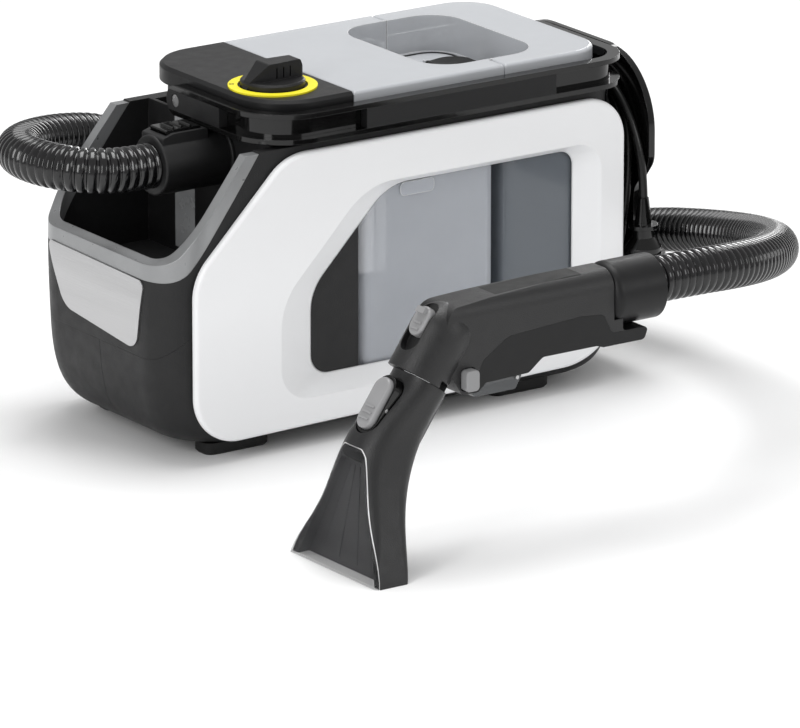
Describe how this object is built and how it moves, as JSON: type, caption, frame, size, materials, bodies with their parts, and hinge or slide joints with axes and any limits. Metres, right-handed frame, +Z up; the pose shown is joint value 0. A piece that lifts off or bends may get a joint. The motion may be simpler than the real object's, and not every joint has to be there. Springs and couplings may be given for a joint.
{
  "type": "spot extractor",
  "caption": "Compact spray-extraction cleaner with lift-out tanks, folding carry handle, corrugated suction hose and a hand wand with a wide nozzle.",
  "frame": {"origin": "on the floor under the middle of the machine", "axes": "+X from the hose well towards the cord store, +Y away from the wand, +Z up"},
  "size_m": [0.5808, 0.6024, 0.296],
  "materials": {
    "body_black": "fine texture, matt",
    "frame_white": "satin white",
    "trim_silver": "silver-grey satin paint",
    "badge_steel": "brushed",
    "gloss_black": "gloss",
    "column_grey": "satin",
    "dial_yellow": "matt print",
    "tank_clear": "tinted clear plastic",
    "lid_clear": "tinted clear plastic, frosted inside",
    "cover_clear": "clear plastic",
    "control_grey": "satin light grey",
    "rubber_black": "matt",
    "hose_black": "gloss corrugated",
    "steel": "turned",
    "inner_grey": "moulded",
    "motor_metal": "zinc plated",
    "board_green": "lacquered"
  },
  "bodies": {
    "root": {"main_housing": "body_black", "lower_shell_near": "body_black", "lower_shell_far": "body_black", "side_frame_near": "frame_white", "side_frame_far": "frame_white", "well_trim": "trim_silver", "control_panel": "gloss_black", "dial_ring": "dial_yellow", "front_column": "column_grey", "rotary_switch": "inner_grey", "badge_plate": "badge_steel", "feet": "rubber_black", "handle_pivot_pins": "steel", "suction_motor": "motor_metal", "fan_housing": "inner_grey", "air_duct": "inner_grey", "spray_pump": "motor_metal", "circuit_board": "board_green", "pump_feed_hose": "rubber_black", "hose_port": "body_black", "hose_connector": "body_black", "cord_guard": "gloss_black", "cord_coil": "rubber_black", "cord_gland": "rubber_black", "cord_lead": "rubber_black", "power_cord": "rubber_black", "power_plug": "gloss_black", "suction_hose": "hose_black", "wand_upper_shell": "body_black", "grip_inlay": "rubber_black", "wand_grip_panel": "body_black", "hose_cuff": "body_black", "nozzle_body": "body_black", "nozzle_cover": "cover_clear", "spray_line": "column_grey", "spray_jet": "gloss_black", "latch_skirt": "gloss_black", "wand_pivot_pins": "steel"},
    "dial": {"dial_knob": "body_black"},
    "handle": {"carry_handle": "gloss_black", "handle_grip_pad": "body_black", "handle_arm_pads": "body_black"},
    "dirty_tank_body": {"dirty_tank": "tank_clear", "dirty_tank_lid": "lid_clear", "dirty_tank_inlet": "tank_clear", "float_cage": "inner_grey", "tank_catch": "tank_clear"},
    "float": {"float_ball": "frame_white"},
    "fresh_tank_body": {"fresh_tank": "tank_clear", "fresh_tank_lid": "lid_clear", "fresh_tank_valve": "inner_grey", "fill_cap_pin": "lid_clear"},
    "filler_cap": {"fill_cap": "rubber_black"},
    "fan": {"fan_wheel": "inner_grey", "motor_shaft": "steel"},
    "connector_catch": {"connector_latch": "gloss_black"},
    "trigger": {"spray_trigger": "tank_clear"},
    "slider": {"spray_slider": "control_grey"},
    "button": {"spray_button": "control_grey"},
    "latch": {"nozzle_latch": "control_grey"}
  },
  "joints": [
    {"name": "dial_turn", "type": "hinge", "parent": "root", "child": "dial", "pos_m": [-0.097, -0.042, 0.276], "axis": [0, 0, 1], "range_deg": [0, 90]},
    {"name": "handle_swing", "type": "hinge", "parent": "root", "child": "handle", "pos_m": [0, 0.022, 0.257], "axis": [-1, 0, 0], "range_deg": [0, 90]},
    {"name": "dirty_tank_lift", "type": "slide", "parent": "root", "child": "dirty_tank_body", "axis": [0, 0, -1], "range_m": [-0.2, 0]},
    {"name": "float_rise", "type": "slide", "parent": "dirty_tank_body", "child": "float", "axis": [0, 0, 1], "range_m": [0, 0.028]},
    {"name": "fresh_tank_lift", "type": "slide", "parent": "root", "child": "fresh_tank_body", "axis": [0, 0, -1], "range_m": [-0.2, 0]},
    {"name": "fill_cap_open", "type": "hinge", "parent": "fresh_tank_body", "child": "filler_cap", "pos_m": [0.094, 0, 0.2504], "axis": [0, -1, 0], "range_deg": [0, 100]},
    {"name": "fan_spin", "type": "hinge", "parent": "root", "child": "fan", "pos_m": [-0.15, 0.022, 0.09], "axis": [0, 0, 1], "continuous": true},
    {"name": "connector_latch_press", "type": "slide", "parent": "root", "child": "connector_catch", "axis": [0, 0, -1], "range_m": [0, 0.0025], "stiffness_N_per_m": 900, "springref_m": -0.0005},
    {"name": "trigger_pull", "type": "hinge", "parent": "root", "child": "trigger", "pos_m": [-0.1015, -0.369, 0.125], "axis": [0, 1, 0], "range_deg": [0, 4], "stiffness_Nm_per_rad": 0.4, "springref_deg": -5.73},
    {"name": "slider_slide", "type": "slide", "parent": "root", "child": "slider", "axis": [-0.5721, 0, -0.8202], "range_m": [0, 0.009]},
    {"name": "side_button_press", "type": "slide", "parent": "root", "child": "button", "axis": [0, 1, 0], "range_m": [0, 0.0025], "stiffness_N_per_m": 900, "springref_m": -0.0005},
    {"name": "nozzle_latch_press", "type": "hinge", "parent": "root", "child": "latch", "pos_m": [-0.22286, -0.369, 0.1204], "axis": [0, 1, 0], "range_deg": [0, 7], "stiffness_Nm_per_rad": 0.3, "springref_deg": -2.86}
  ]
}
